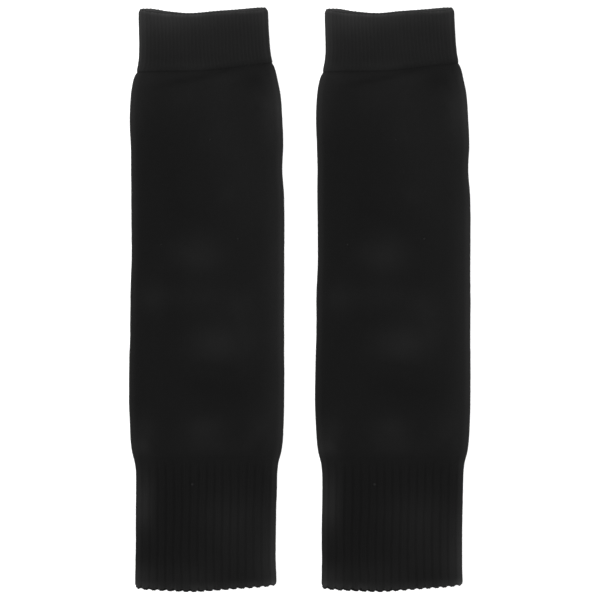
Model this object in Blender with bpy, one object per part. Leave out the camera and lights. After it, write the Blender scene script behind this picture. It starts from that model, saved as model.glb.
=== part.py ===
"""Pair of footless calf sleeves, knitted in the round and laid flat side by side.

Each sleeve is three flattened tubes, end to end: a fine ribbed welt for under the knee, a plain
calf tube, and a wide ribbed ankle with a scalloped hem. The pair lies on z = 0 and is seen from above:
+X is to the right, +Y runs up the leg from ankle to knee, and +Z faces the viewer.
"""
import math
from collections import namedtuple

import bmesh
import bpy

MM = 0.001

# Driving sizes of the pair, in mm.
SLEEVE_PITCH = 121.0
SEAM_GAP = 0.3

# Needles round the machine, and how many wales each rib takes.
NEEDLES = 144
WELT_RIB_WALES = 2
ANKLE_RIB_WALES = 4

# Wall thickness, and the height of the ribs that stand on it.
CALF_WALL = 1.5
WELT_WALL = 2.0
ANKLE_WALL = 1.6
WELT_RIB_HEIGHT = 0.35
ANKLE_RIB_HEIGHT = 0.6
SCALLOP = 0.75

# Space left between the front and the back where they lie on each other, and how it opens at the folds.
LAYER_GAP = 0.4
FOLD_GAP = 1.0
FOLD_REACH = 7.0

# Rounding of a tube's outer edge at its ends, and how far from the end it starts.
EDGE_ROUND = 0.3
EDGE_REACH = 0.9

# The welt thickens from the seam over this length.
WELT_RISE = 5.0

# The two side folds, measured from the sleeve's centre line at a height above the hem line.
Fold = namedtuple("Fold", "up left right")
FOLDS = (
    Fold(2.0, 46.3, 45.3),
    Fold(20.7, 46.0, 44.8),
    Fold(46.7, 45.8, 44.9),
    Fold(72.7, 45.3, 45.4),
    Fold(82.5, 46.1, 46.1),
    Fold(92.3, 48.5, 48.6),
    Fold(105.3, 49.8, 49.9),
    Fold(128.0, 50.6, 50.5),
    Fold(170.3, 49.7, 50.4),
    Fold(215.9, 48.8, 50.5),
    Fold(254.9, 49.0, 50.4),
    Fold(274.4, 49.1, 49.1),
    Fold(290.7, 49.4, 49.8),
    Fold(307.0, 50.0, 49.2),
    Fold(323.3, 49.3, 48.0),
    Fold(333.0, 47.6, 46.3),
    Fold(339.5, 44.9, 44.6),
    Fold(346.0, 43.8, 42.1),
    Fold(352.5, 43.5, 41.0),
    Fold(365.6, 43.8, 40.2),
    Fold(378.0, 44.0, 39.7),
)

# Rim, seams and hem across a sleeve: 0 at the left fold and 1 at the right. The front's edge stops short
# of the back's by the lap.
Edge = namedtuple("Edge", "across up lap")
RIM = (
    Edge(0.00, 378.9, 2.0),
    Edge(0.10, 379.2, 2.4),
    Edge(0.22, 377.6, 1.8),
    Edge(0.40, 376.4, 1.2),
    Edge(0.60, 377.8, 1.4),
    Edge(0.78, 378.9, 1.8),
    Edge(0.93, 380.0, 2.2),
    Edge(1.00, 379.8, 2.0),
)
WELT_SEAM = (
    Edge(0.00, 337.2, 0.0),
    Edge(0.50, 340.4, 0.0),
    Edge(1.00, 343.8, 0.0),
)
ANKLE_SEAM = (
    Edge(0.00, 88.6, 0.0),
    Edge(0.50, 88.2, 0.0),
    Edge(1.00, 88.9, 0.0),
)
HEM = (
    Edge(0.00, 2.2, -1.2),
    Edge(0.10, 1.2, -1.3),
    Edge(0.25, 0.5, -1.4),
    Edge(0.42, 0.0, -1.3),
    Edge(0.57, 0.9, -1.2),
    Edge(0.73, 2.0, -0.9),
    Edge(0.88, 3.0, -0.6),
    Edge(1.00, 3.6, -0.4),
)

# Corner radii where the rim and the hem meet the folds.
RIM_CORNER = 2.1
HEM_CORNER = 2.2
CORNER_HALF_WIDTH = 44.0

# Where the calf's front lifts off its back: the middle of each soft swell, its reach and its height.
Swell = namedtuple("Swell", "right up reach_right reach_up height")
SWELLS = (
    Swell(-6.0, 219.0, 17.0, 21.0, 1.0),
    Swell(6.0, 166.0, 20.0, 18.0, 0.9),
    Swell(2.0, 106.0, 16.0, 13.0, 0.7),
    Swell(37.0, 307.0, 13.0, 24.0, 0.9),
    Swell(-30.0, 186.0, 13.0, 22.0, 0.6),
    Swell(10.0, 305.0, 18.0, 17.0, 0.6),
    Swell(34.0, 150.0, 12.0, 34.0, 0.5),
    Swell(-33.0, 112.0, 11.0, 16.0, 0.6),
    Swell(-36.0, 58.0, 9.0, 15.0, 0.8),
    Swell(20.0, 40.0, 16.0, 20.0, 0.6),
    Swell(-20.0, 369.0, 18.0, 9.0, 0.6),
)

# The largest creases in the front: a soft trough from one end to the other, deepest in its middle.
Crease = namedtuple("Crease", "right up to_right to_up reach depth")
CREASES = (
    Crease(-40.0, 327.0, 30.0, 342.0, 3.2, 0.55),
    Crease(30.0, 339.0, 44.0, 316.0, 3.2, 0.40),
    Crease(-45.0, 108.0, -31.0, 90.0, 3.2, 0.40),
    Crease(31.0, 89.0, 45.0, 109.0, 3.2, 0.40),
)

# How sharply a crease fades in from its ends.
CREASE_FADE = 1.6

# Where a ring of points stands along each tube, between its ends: 0 is the ankle end and 1 the knee end.
WELT_STATIONS = (0.08, 0.30, 0.62)
CALF_STATIONS = (
    0.018, 0.036, 0.055, 0.076, 0.11, 0.16, 0.22, 0.29, 0.37, 0.45, 0.53, 0.61, 0.69, 0.76, 0.82, 0.865, 0.90,
    0.925, 0.944, 0.959, 0.973, 0.986,
)
ANKLE_STATIONS = (0.20, 0.45, 0.72, 0.90)

# Steps of one rib, from groove to groove: how far along it, and how much of its height.
FINE_RIB_STEPS = ((0.0, 0.0), (0.34, 1.0), (0.66, 1.0))
WIDE_RIB_STEPS = ((0.0, 0.0), (0.2, 0.8), (0.5, 1.0), (0.8, 0.8))

# The same along the back's hem, whose ribs show in its scallops alone.
SCALLOP_STEPS = ((0.0, 0.0), (0.5, 1.0))

# Points of the plain stretches of a ring.
PLAIN_TOP_POINTS = 34
PLAIN_UNDER_POINTS = 12
INNER_TOP_POINTS = 15
INNER_UNDER_POINTS = 9
FOLD_POINTS = 3
FOLD_TURN = 0.062

# Edges sharper than this, in degrees, are shaded as edges.
SHARP_ANGLE = 50.0

TONES = {
    "knee_welt": (0.020, 0.020, 0.020),
    "calf_tube": (0.013, 0.013, 0.013),
    "ankle_rib": (0.012, 0.012, 0.012),
}


def along(rows, place, column):
    """A column's value at a place, on a smooth curve through the rows."""
    places = [row[0] for row in rows]
    values = [getattr(row, column) for row in rows]
    place = min(max(place, places[0]), places[-1])
    step = 0
    while step < len(rows) - 2 and place > places[step + 1]:
        step += 1
    before = max(step - 1, 0)
    after = min(step + 2, len(rows) - 1)
    span = places[step + 1] - places[step]
    start_slope = (values[step + 1] - values[before]) / (places[step + 1] - places[before])
    end_slope = (values[after] - values[step]) / (places[after] - places[step])
    part = (place - places[step]) / span
    rise = values[step + 1] - values[step]
    bend = start_slope * span * (1 - part) - end_slope * span * part - rise * (1 - 2 * part)
    return values[step] + rise * part + part * (1 - part) * bend


def smooth_step(part):
    """Eases from 0 to 1."""
    part = min(max(part, 0.0), 1.0)
    return part * part * (3 - 2 * part)


def corner_drop(across, radius):
    """How far a round corner falls back from the straight edge, at a fraction across."""
    from_fold = CORNER_HALF_WIDTH * 2 * min(across, 1 - across)
    if from_fold >= radius:
        return 0.0
    return radius - math.sqrt(radius * radius - (radius - from_fold) ** 2)


def swell(right, up):
    """How far the front lifts off the back."""
    lift = 0.0
    for row in SWELLS:
        away = ((right - row.right) / row.reach_right) ** 2 + ((up - row.up) / row.reach_up) ** 2
        lift += row.height * math.exp(-away)
    return lift


def crease(right, up):
    """How deep the front dips into its creases."""
    dip = 0.0
    for row in CREASES:
        run_right = row.to_right - row.right
        run_up = row.to_up - row.up
        length = math.hypot(run_right, run_up)
        gone = ((right - row.right) * run_right + (up - row.up) * run_up) / length**2
        aside = ((right - row.right) * run_up - (up - row.up) * run_right) / length
        fade = smooth_step(CREASE_FADE * (1 - abs(2 * gone - 1)))
        dip += row.depth * fade * math.exp(-((aside / row.reach) ** 2))
    return dip


class Tube:
    """One flattened tube: its ends, its wall and its ribs."""

    def __init__(self, low_edge, high_edge, wall, ribs=0, rib_height=0.0, rib_steps=(), scallop=0.0):
        self.low_edge = low_edge
        self.high_edge = high_edge
        self.wall = wall
        self.ribs = ribs
        self.rib_height = rib_height
        self.rib_steps = rib_steps
        self.scallop = scallop
        self.is_ankle = low_edge is HEM
        self.is_welt = high_edge is RIM

    def thickness(self, up):
        """The wall, which the doubled welt thickens above its seam."""
        if not self.is_welt:
            return self.wall
        rise = smooth_step((up - along(WELT_SEAM, 0.5, "up")) / WELT_RISE)
        return CALF_WALL + (self.wall - CALF_WALL) * rise

    def height_up(self, across, along_part, front, rib_part):
        """Distance above the hem line. Front is 1 on the front, 0 on the back and between at the folds."""
        low = along(self.low_edge, across, "up") - along(self.low_edge, across, "lap") * front
        high = along(self.high_edge, across, "up") - along(self.high_edge, across, "lap") * front
        if self.is_ankle:
            low += corner_drop(across, HEM_CORNER) + self.scallop * (1 - rib_part)
        else:
            low += SEAM_GAP / 2
        if self.is_welt:
            high -= corner_drop(across, RIM_CORNER)
        else:
            high -= SEAM_GAP / 2
        return low + (high - low) * along_part

    def point(self, turn, along_part, rib_part=0.0, inner=False):
        """A point of a ring. Turn runs -1 to 1 over the front, and on to 3 under the back."""
        over = turn if turn <= 1 else 2 - turn
        is_front = turn <= 1
        side = -1 if over < 0 else 1
        rough_up = self.height_up((over + 1) / 2, along_part, 0.5, 0.0)
        half = (along(FOLDS, rough_up, "left") + along(FOLDS, rough_up, "right")) / 2
        wall = self.thickness(rough_up)
        radius = wall + FOLD_GAP / 2
        edge = radius / half
        share = math.pi / 2 * edge / (1 - edge + math.pi / 2 * edge)
        on_flat = abs(over) <= 1 - share
        if on_flat:
            reach = over / (1 - share) * (1 - edge)
            facing_side = 0.0
            facing_up = 1.0
        else:
            angle = (abs(over) - 1 + share) / share * math.pi / 2
            reach = side * (1 - edge + edge * math.sin(angle))
            facing_side = side * math.sin(angle)
            facing_up = math.cos(angle)
        if not is_front:
            facing_up = -facing_up
        front = (1 + facing_up) / 2
        across = (reach + 1) / 2
        up = self.height_up(across, along_part, front, rib_part)
        left = along(FOLDS, up, "left")
        right = along(FOLDS, up, "right")
        place = (right - left) / 2 + (right + left) / 2 * reach
        from_fold = (1 - edge - abs(reach)) * half
        if not on_flat:
            level = radius + radius * facing_up
        elif is_front:
            opened = math.exp(-((from_fold / FOLD_REACH) ** 2))
            gap = LAYER_GAP + (FOLD_GAP - LAYER_GAP) * opened + swell(place, up) * (1 - opened)
            level = 2 * wall + gap
            if not inner:
                level -= crease(place, up) * (1 - opened)
        else:
            level = 0.0
        out = self.rib_height * rib_part if is_front else 0.0
        if along_part in (0.0, 1.0):
            out -= EDGE_ROUND * (1 + facing_up) / 2
        if inner:
            out = -wall
        return (place + out * facing_side, up, level + out * facing_up)

    def end_to_end(self, stations):
        """The stations with the two ends, and a ring close inside each for its rounded edge."""
        low = self.height_up(0.5, 0.0, 0.5, 0.0)
        high = self.height_up(0.5, 1.0, 0.5, 0.0)
        inset = EDGE_REACH / (high - low)
        return (0.0, inset, *stations, 1 - inset, 1.0)

    def outer_turns(self):
        """Places round the outer ring, each with its part of a rib's height."""
        if self.ribs:
            turns = rib_turns(-1, self.ribs, self.rib_steps)
        else:
            turns = [(turn, 0.0) for turn in plain_turns(-1, 1, PLAIN_TOP_POINTS)]
        if self.scallop:
            turns += rib_turns(1, self.ribs, SCALLOP_STEPS)
        else:
            turns += [(turn, 0.0) for turn in plain_turns(1, 3, PLAIN_UNDER_POINTS)]
        return turns

    def inner_turns(self):
        """Places round the plain inner ring."""
        return plain_turns(-1, 1, INNER_TOP_POINTS) + plain_turns(1, 3, INNER_UNDER_POINTS)


def rib_turns(start, ribs, steps):
    """Places of the ribs over a front or under a back, from one fold to the other."""
    return [(start + 2 * (rib + step) / ribs, part) for rib in range(ribs) for step, part in steps]


def plain_turns(start, end, flat_points):
    """Places over a front or under a back, close together on the two folds."""
    turns = []
    for step in range(FOLD_POINTS):
        turns.append(start + FOLD_TURN * step / FOLD_POINTS)
    for step in range(flat_points):
        turns.append(start + FOLD_TURN + (end - start - 2 * FOLD_TURN) * step / (flat_points - 1))
    for step in range(1, FOLD_POINTS):
        turns.append(end - FOLD_TURN + FOLD_TURN * step / FOLD_POINTS)
    return turns


def join_rings(mesh, first, second):
    """Quads between two rings of as many points."""
    count = len(first)
    for index in range(count):
        following = (index + 1) % count
        mesh.faces.new((first[index], first[following], second[following], second[index]))


def close_end(mesh, outer, inner, outer_turns, inner_turns):
    """Triangles between an outer ring and an inner one with other places round it."""
    outer_places = list(outer_turns) + [outer_turns[0] + 4]
    inner_places = list(inner_turns) + [inner_turns[0] + 4]
    outer_step = 0
    inner_step = 0
    while outer_step < len(outer) or inner_step < len(inner):
        here = outer[outer_step % len(outer)]
        there = inner[inner_step % len(inner)]
        outer_next = outer_places[outer_step + 1] if outer_step < len(outer) else math.inf
        inner_next = inner_places[inner_step + 1] if inner_step < len(inner) else math.inf
        if outer_next <= inner_next:
            outer_step += 1
            mesh.faces.new((here, outer[outer_step % len(outer)], there))
        else:
            inner_step += 1
            mesh.faces.new((here, inner[inner_step % len(inner)], there))


def build_wall(name, tube, stations):
    """The tube as one closed wall: outer rings, inner rings, and the two ends between them."""
    mesh = bmesh.new()
    outer_turns = tube.outer_turns()
    inner_turns = tube.inner_turns()
    outer_rings = []
    inner_rings = []
    for station in tube.end_to_end(stations):
        outer = []
        for turn, part in outer_turns:
            right, up, level = tube.point(turn, station, rib_part=part)
            outer.append(mesh.verts.new((right * MM, up * MM, level * MM)))
        inner = []
        for turn in inner_turns:
            right, up, level = tube.point(turn, station, inner=True)
            inner.append(mesh.verts.new((right * MM, up * MM, level * MM)))
        outer_rings.append(outer)
        inner_rings.append(inner)
    for low, high in zip(outer_rings, outer_rings[1:]):
        join_rings(mesh, low, high)
    for low, high in zip(inner_rings, inner_rings[1:]):
        join_rings(mesh, low, high)
    outer_places = [turn for turn, part in outer_turns]
    close_end(mesh, outer_rings[0], inner_rings[0], outer_places, inner_turns)
    close_end(mesh, outer_rings[-1], inner_rings[-1], outer_places, inner_turns)
    bmesh.ops.recalc_face_normals(mesh, faces=mesh.faces)
    data = bpy.data.meshes.new(name)
    mesh.to_mesh(data)
    mesh.free()
    data.shade_smooth()
    data.set_sharp_from_angle(angle=math.radians(SHARP_ANGLE))
    return data


def knit_material(name, tone):
    """Matt dark yarn."""
    material = bpy.data.materials.new(name)
    material.use_nodes = True
    shader = material.node_tree.nodes["Principled BSDF"]
    shader.inputs["Base Color"].default_value = (*tone, 1.0)
    shader.inputs["Roughness"].default_value = 0.9
    shader.inputs["Metallic"].default_value = 0.0
    return material


def middle(walls):
    """The middle of a sleeve's outline, seen from above."""
    corners = [point.co for data in walls for point in data.vertices]
    right = [point.x for point in corners]
    up = [point.y for point in corners]
    return (min(right) + max(right)) / 2, (min(up) + max(up)) / 2


def clear_scene():
    for thing in list(bpy.data.objects):
        bpy.data.objects.remove(thing, do_unlink=True)


def build_pair():
    clear_scene()
    front_wales = NEEDLES // 2
    tubes = {
        "knee_welt": (
            Tube(
                WELT_SEAM, RIM, WELT_WALL,
                ribs=front_wales // WELT_RIB_WALES, rib_height=WELT_RIB_HEIGHT, rib_steps=FINE_RIB_STEPS,
            ),
            WELT_STATIONS,
        ),
        "calf_tube": (Tube(ANKLE_SEAM, WELT_SEAM, CALF_WALL), CALF_STATIONS),
        "ankle_rib": (
            Tube(
                HEM, ANKLE_SEAM, ANKLE_WALL,
                ribs=front_wales // ANKLE_RIB_WALES, rib_height=ANKLE_RIB_HEIGHT, rib_steps=WIDE_RIB_STEPS,
                scallop=SCALLOP,
            ),
            ANKLE_STATIONS,
        ),
    }
    walls = {}
    for piece, (tube, stations) in tubes.items():
        walls[piece] = build_wall(piece, tube, stations)
        walls[piece].materials.append(knit_material(piece, TONES[piece]))
    middle_right, middle_up = middle(walls.values())
    for piece, data in walls.items():
        for side_name, side in (("left", -1), ("right", 1)):
            body = bpy.data.objects.new(f"{side_name}_{piece}", data)
            body.location = (side * SLEEVE_PITCH / 2 * MM - middle_right, -middle_up, 0.0)
            bpy.context.scene.collection.objects.link(body)


build_pair()
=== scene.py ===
import math
from collections import namedtuple
from dataclasses import dataclass

import bmesh
import bpy
import numpy as np
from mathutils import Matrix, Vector


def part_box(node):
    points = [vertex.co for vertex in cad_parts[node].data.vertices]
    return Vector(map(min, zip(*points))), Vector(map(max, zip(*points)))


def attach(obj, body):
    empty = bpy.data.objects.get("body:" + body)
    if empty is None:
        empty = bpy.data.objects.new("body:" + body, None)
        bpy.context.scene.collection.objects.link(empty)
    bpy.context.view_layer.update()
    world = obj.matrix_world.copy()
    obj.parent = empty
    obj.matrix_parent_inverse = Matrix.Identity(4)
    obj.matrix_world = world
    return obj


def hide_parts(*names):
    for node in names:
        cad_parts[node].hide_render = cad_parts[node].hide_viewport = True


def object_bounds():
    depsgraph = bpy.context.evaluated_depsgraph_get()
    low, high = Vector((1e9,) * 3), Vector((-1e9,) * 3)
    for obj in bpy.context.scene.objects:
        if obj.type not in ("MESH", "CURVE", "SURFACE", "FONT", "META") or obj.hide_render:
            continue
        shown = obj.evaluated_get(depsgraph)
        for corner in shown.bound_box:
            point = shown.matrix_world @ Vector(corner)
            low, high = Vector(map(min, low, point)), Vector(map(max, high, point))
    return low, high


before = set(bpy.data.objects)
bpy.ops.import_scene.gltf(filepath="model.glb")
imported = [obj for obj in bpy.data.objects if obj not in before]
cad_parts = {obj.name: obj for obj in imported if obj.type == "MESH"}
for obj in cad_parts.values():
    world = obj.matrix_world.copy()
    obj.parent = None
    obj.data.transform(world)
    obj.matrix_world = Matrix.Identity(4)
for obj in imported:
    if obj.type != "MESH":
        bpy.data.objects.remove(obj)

cad_low, cad_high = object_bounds()

MM = 0.001


def table(kind, *rows):
    """Rows of numbers whose columns have names."""
    return [kind(*row) for row in rows]


# Sizes in mm. They are the solids' own, but the two corners are rounded as the photo shows them close up.
NEEDLES = 144
WELT_RIB_WALES = 2
ANKLE_RIB_WALES = 4
CALF_WALL = 1.5
WELT_WALL = 2.0
ANKLE_WALL = 1.6
WELT_RIB_HEIGHT = 0.35
ANKLE_RIB_HEIGHT = 0.6
RIM_NOTCH = 0.22
LAYER_GAP = 0.4
FOLD_GAP = 1.0
FOLD_REACH = 7.0
RIM_CORNER = 1.7
HEM_CORNER = 2.6
CORNER_HALF_WIDTH = 44.0

# The knitted stretches meet here, with no slit to be seen between them.
SEAM_GAP = 0.02

# The hem's scallops, a little deeper than the solids' because the yarn rounds them off.
SCALLOP = 0.95

# One course of knitting, and how far a wale stands up.
COURSE = 1.05
WALE_RELIEF = 0.09

# How much of a rib's half pitch is flat crest, and how much is the slope beside it.
WELT_RIB_CREST = 0.15
WELT_RIB_SLOPE = 0.80
ANKLE_RIB_CREST = 0.38
ANKLE_RIB_SLOPE = 0.54

# The dip between the two wales of an ankle rib's crest, and its reach, as shares of the half pitch.
ANKLE_RIB_DIP = 0.05
ANKLE_RIB_DIP_REACH = 0.13

# How much less the grooves of the rib mark show, in their painted shade and their purl stitches, in some
# places than in others, and how far apart those are.
RIB_UNEVENNESS = 0.45
RIB_PATCH_ACROSS = 15
RIB_PATCH_UP = 26

# Small unevenness. A fold's waver: its waves' length and swing. The wales' sway: its waves' length, their
# number to half a turn, and how many wales they move. The rumple: its reach and height.
FOLD_WAVERS = ((11, 0.16), (3.1, 0.06))
WALE_SWAYS = ((26, 2.5, 0.45), (9, 6, 0.18))
RUMPLES = ((7, 11, 0.05), (17, 23, 0.08))

# How far from a seam the doubled welt, the ankle's wall and each set of ribs reach their full height, and the
# painted shade in the ankle ribs' grooves its full strength.
WELT_RISE = 4.0
ANKLE_RISE = 8.0
WELT_RIB_RISE = 2.5
ANKLE_RIB_RISE = 9.0
ANKLE_SHADE_RISE = 14.0

# The groove that the linking stitches pull along the welt's seam.
GROOVE_DEPTH = 0.5
GROOVE_REACH = 0.65

# Painted highlights: by what share the cloth is painted lighter at the rim, in its lap (painted light over
# the shade there), at the hem and at the folds, and its reach.
LightBand = namedtuple("LightBand", "gain reach")
RIM_PAINTED_HIGHLIGHT = LightBand(0.45, 1.0)
RIM_LAP_PAINTED_LIGHT = LightBand(1.25, 3.0)
HEM_PAINTED_HIGHLIGHT = LightBand(0.7, 2.6)
FOLD_PAINTED_SHEEN = LightBand(0.50, 1.8)
WELT_FOLD_PAINTED_SHEEN = LightBand(0.25, 1.8)

# The painted highlight at the rim and the hem comes in patches this far apart, by this share.
HIGHLIGHT_PATCH_ACROSS = 3.1
HIGHLIGHT_PATCH_UP = 40
HIGHLIGHT_PATCHINESS = 0.45

# Painted shade: how much darker the cloth is painted for each mm of a crease's depth, and in the seam's
# groove.
CREASE_SHADE = 0.26
GROOVE_SHADE = 0.08

# Painted shade: the welt is painted darker towards its seam.
SEAM_SHADE = LightBand(-0.20, 3.5)

# Loose nap grows where the cloth is higher than the level, fully past the rise, on the wall's outer part.
NAP_LEVEL = 1.0
NAP_RISE = 0.6
NAP_OUTER_PART = 0.4

# A crease is at its full depth over the middle part of its length. The fade is how soon it gets there.
CREASE_FADE = 1.6

# The two side folds, measured from the sleeve's centre line at a height above the hem line.
Fold = namedtuple("Fold", "up left right")
FOLDS = table(
    Fold,
    (2.0, 46.3, 45.6),
    (20.7, 46.1, 44.9),
    (46.7, 46.0, 45.1),
    (72.7, 45.8, 45.7),
    (82.5, 46.4, 46.4),
    (92.3, 48.7, 48.8),
    (105.3, 49.8, 49.9),
    (128.0, 50.6, 50.5),
    (170.3, 49.8, 50.4),
    (193.0, 49.6, 50.5),
    (215.9, 48.8, 50.5),
    (254.9, 49.0, 50.4),
    (274.4, 49.1, 49.1),
    (290.7, 49.4, 49.8),
    (307.0, 50.0, 49.2),
    (323.3, 49.3, 48.0),
    (333.0, 47.6, 46.1),
    (339.5, 45.1, 44.6),
    (346.0, 43.9, 42.3),
    (352.5, 43.5, 41.2),
    (365.6, 43.8, 40.2),
    (378.0, 44.0, 39.7),
)

# Rim, seams and hem across a sleeve: 0 at the left fold and 1 at the right. The front's edge stops short
# of the back's by the lap. The welt's seam bends as in the photo, where the solids have it straight.
Edge = namedtuple("Edge", "across up lap", defaults=(0.0,))
RIM = table(
    Edge,
    (0.00, 379.2, 0.6),
    (0.10, 379.2, 2.4),
    (0.22, 377.6, 1.8),
    (0.40, 376.4, 1.2),
    (0.60, 377.8, 1.4),
    (0.78, 378.9, 1.8),
    (0.93, 380.0, 2.2),
    (1.00, 380.0, 0.6),
)
WELT_SEAM = table(
    Edge,
    (0.00, 337.8),
    (0.15, 338.3),
    (0.45, 338.7),
    (0.60, 339.9),
    (0.75, 341.5),
    (0.90, 343.1),
    (1.00, 343.8),
)
ANKLE_SEAM = table(
    Edge,
    (0.00, 88.6),
    (0.50, 88.2),
    (1.00, 88.9),
)
HEM = table(
    Edge,
    (0.00, 2.2, -1.2),
    (0.10, 1.2, -1.3),
    (0.25, 0.5, -1.4),
    (0.42, 0.0, -1.3),
    (0.57, 0.9, -1.2),
    (0.73, 2.0, -0.9),
    (0.88, 3.0, -0.6),
    (1.00, 4.3, -0.4),
)

# Where the front lifts off the back: the middle of each soft swell, its reach and its height.
Swell = namedtuple("Swell", "right up reach_right reach_up height")
SWELLS = table(
    Swell,
    (-6, 219, 17, 21, 1),
    (6, 166, 20, 18, 0.9),
    (2, 106, 16, 13, 0.7),
    (37, 307, 13, 24, 0.9),
    (-30, 186, 13, 22, 0.6),
    (10, 305, 18, 17, 0.6),
    (34, 150, 12, 34, 0.5),
    (-33, 112, 11, 16, 0.6),
    (-36, 58, 9, 15, 0.8),
    (20, 40, 16, 20, 0.6),
    (-20, 369, 18, 9, 0.6),
)

# Creases, from one end to the other: a soft ridge where the rise is above 0 and a trough below.
# The bow is how far the middle swings aside. The first four are in the solids too.
Crease = namedtuple("Crease", "right up to_right to_up reach rise bow")
FRONT_CREASES = table(
    Crease,
    (-40, 327, 30, 342, 3.2, -0.55, 0),
    (30, 339, 44, 316, 3.2, -0.40, 0),
    (-45, 108, -31, 90, 3.2, -0.40, 0),
    (31, 89, 45, 109, 3.2, -0.40, 0),
    (-37, 328, 24, 341, 1.2, -0.42, -0.8),
    (-30, 334, 2, 339, 2.2, 0.22, 0.5),
    (-46, 322, -37, 300, 2.8, -0.28, 1.2),
    (30.5, 315.5, 38, 311.5, 1.3, -0.40, 0.3),
    (-22, 298, -27, 122, 9, -0.24, 5),
    (30, 288, 36, 132, 8, 0.22, -4),
    (-32, 252, 10, 236, 5, -0.22, 2.5),
    (9, 205, 27, 148, 5.5, -0.22, -3),
    (-14, 146, 24, 141, 3, -0.32, 3),
    (-20, 139, 30, 128, 6, -0.24, -2),
    (-16, 99, -12, 86, 2.2, -0.20, 0.4),
    (15, 101, 13, 87, 2, -0.18, -0.4),
    (-41, 76, -37, 44, 3.2, 0.26, 1.5),
    (24, 62, 18, 18, 6, 0.22, -2),
    (2, 30, 12, 20, 2.4, -0.22, 0.6),
    (-6, 372, -9, 346, 5, -0.16, 1),
    (26, 374, 30, 350, 4, 0.16, -1),
)
BACK_CREASES = table(
    Crease,
    (-36, 331, 16, 338, 2.6, -0.40, 1),
    (33, 336, 43, 315, 2.4, -0.30, -0.6),
    (-20, 284, -16, 150, 7, -0.25, 4),
    (24, 262, 29, 176, 6, -0.30, -3),
    (-30, 196, 12, 214, 4.5, -0.25, 2),
    (-4, 132, 34, 121, 5, -0.30, -1.5),
    (-42, 104, -31, 92, 2.6, -0.30, 0.4),
    (36, 91, 43, 107, 2.6, -0.30, -0.4),
    (-18, 66, -24, 24, 5, -0.20, 1.5),
)

# Patches of painted light and shade, where the cloth is painted lighter or darker: their middles, reaches and
# strength.
PaintedShading = namedtuple("PaintedShading", "right up reach_right reach_up gain")
FRONT_PAINTED_SHADING = table(
    PaintedShading,
    (0, 323, 60, 20, 0.20),
    (0, 336, 60, 8, 0.27),
    (-39, 335, 8, 6, 0.26),
    (8, 335.5, 9, 3.5, 0.14),
    (-40, 337.5, 6, 2.2, 0.24),
    (32, 343, 8, 2.2, 0.12),
    (7, 323, 9, 8, 0.14),
    (-13, 321, 9, 7, 0.12),
    (44, 315, 9, 20, 0.78),
    (-50, 262, 6.5, 95, 0.36),
    (-46, 322, 8, 22, 0.45),
    (29, 333, 9, 6, -0.30),
    (6, 298, 13, 13, 0.16),
    (20, 280, 20, 42, 0.24),
    (13, 258, 6, 6, 0.16),
    (-5, 218, 15, 12, 0.58),
    (-19, 221, 8, 8, 0.12),
    (-4, 192, 34, 9, 0.25),
    (-35, 191, 9, 10, 0.28),
    (19, 184, 12, 9, 0.26),
    (6, 161, 18, 12, 0.64),
    (24, 168, 14, 14, 0.24),
    (49, 205, 9, 130, 0.86),
    (34, 230, 14, 90, 0.14),
    (-1, 106, 13, 8, 0.46),
    (2, 95, 22, 6, 0.28),
    (38, 105, 11, 12, 0.36),
    (42, 124, 9, 13, 0.15),
    (-41, 101, 8, 12, 0.56),
    (-43, 94, 6, 5, 0.45),
    (-40, 60, 6, 20, 1.10),
    (-41, 51, 5, 9, 0.28),
    (19, 45, 17, 18, 0.52),
    (2, 52, 14, 12, 0.12),
    (18, 20, 24, 12, 0.20),
    (30, 22, 8, 12, 0.12),
    (45, 84, 8, 8, 0.13),
    (43, 26, 9, 30, 0.84),
    (42, 13, 10, 14, 0.40),
    (-20, 11, 22, 8, 0.26),
    (-41, 9, 8, 9, 0.80),
    (-4, 12, 11, 7, 0.14),
    (0, 3.5, 60, 6, 0.36),
    (-30, 374, 26, 12, 0.80),
    (4, 377, 46, 8, 0.56),
    (-42, 357, 6, 16, 0.22),
    (36, 372, 8, 12, 0.22),
    (0, 346, 50, 5, -0.16),
    (-34, 342, 16, 5, -0.10),
    (-22, 56, 12, 36, -0.08),
    (8, 131, 28, 12, -0.06),
    (-24, 284, 16, 24, -0.04),
)
BACK_PAINTED_SHADING = table(
    PaintedShading,
    (-12, 240, 18, 26, 0.20),
    (20, 170, 14, 22, 0.18),
    (-36, 130, 10, 40, 0.25),
    (8, 104, 14, 10, 0.22),
    (42, 270, 9, 60, 0.35),
    (14, 44, 16, 22, 0.20),
    (24, 372, 18, 10, 0.30),
    (-38, 379, 10, 3, 0.40),
    (-10, 304, 24, 18, -0.10),
)

# Pills of rubbed yarn on the front, and how near to its row's place a pill has to sit.
PILL_SEARCH = 1.5
Pill = namedtuple("Pill", "right up radius")
PILLS = table(
    Pill,
    (1.5, 293.7, 0.60),
    (19.2, 230.2, 0.64),
    (-28.6, 226.0, 0.52),
    (-10.4, 70.2, 0.82),
)

# The factor of painted light on the yarn of the pills, the end loops and the linking: 1 leaves it as it is
# dyed.
PILL_PAINTED_SHADING = 1.0
END_LOOP_PAINTED_SHADING = 1.5
LINKING_PAINTED_SHADING = 1.0

# Knit stitches, as shares: how sharp a leg's crest is, how deep the gaps are between its beads, how far the
# middle of a purl arc rises, and how much lower its ends are.
LEG_SHARPNESS = 0.6
BEAD_DEPTH = 0.6
ARC_RISE = 0.35
PURL_DROP = 0.45

# Noise in the yarn's height and dye, in waves to the metre, and the wide mottle's share of it.
HAIR_SCALE = 2600.0
WIDE_MOTTLE_SCALE = 38.0
FINE_MOTTLE_SCALE = 420.0
WIDE_MOTTLE_SHARE = 0.55

# Yarn: its least roughness, and how much the fine mottle adds.
ROUGHNESS = 0.78
ROUGHNESS_MOTTLE = 0.2

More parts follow.
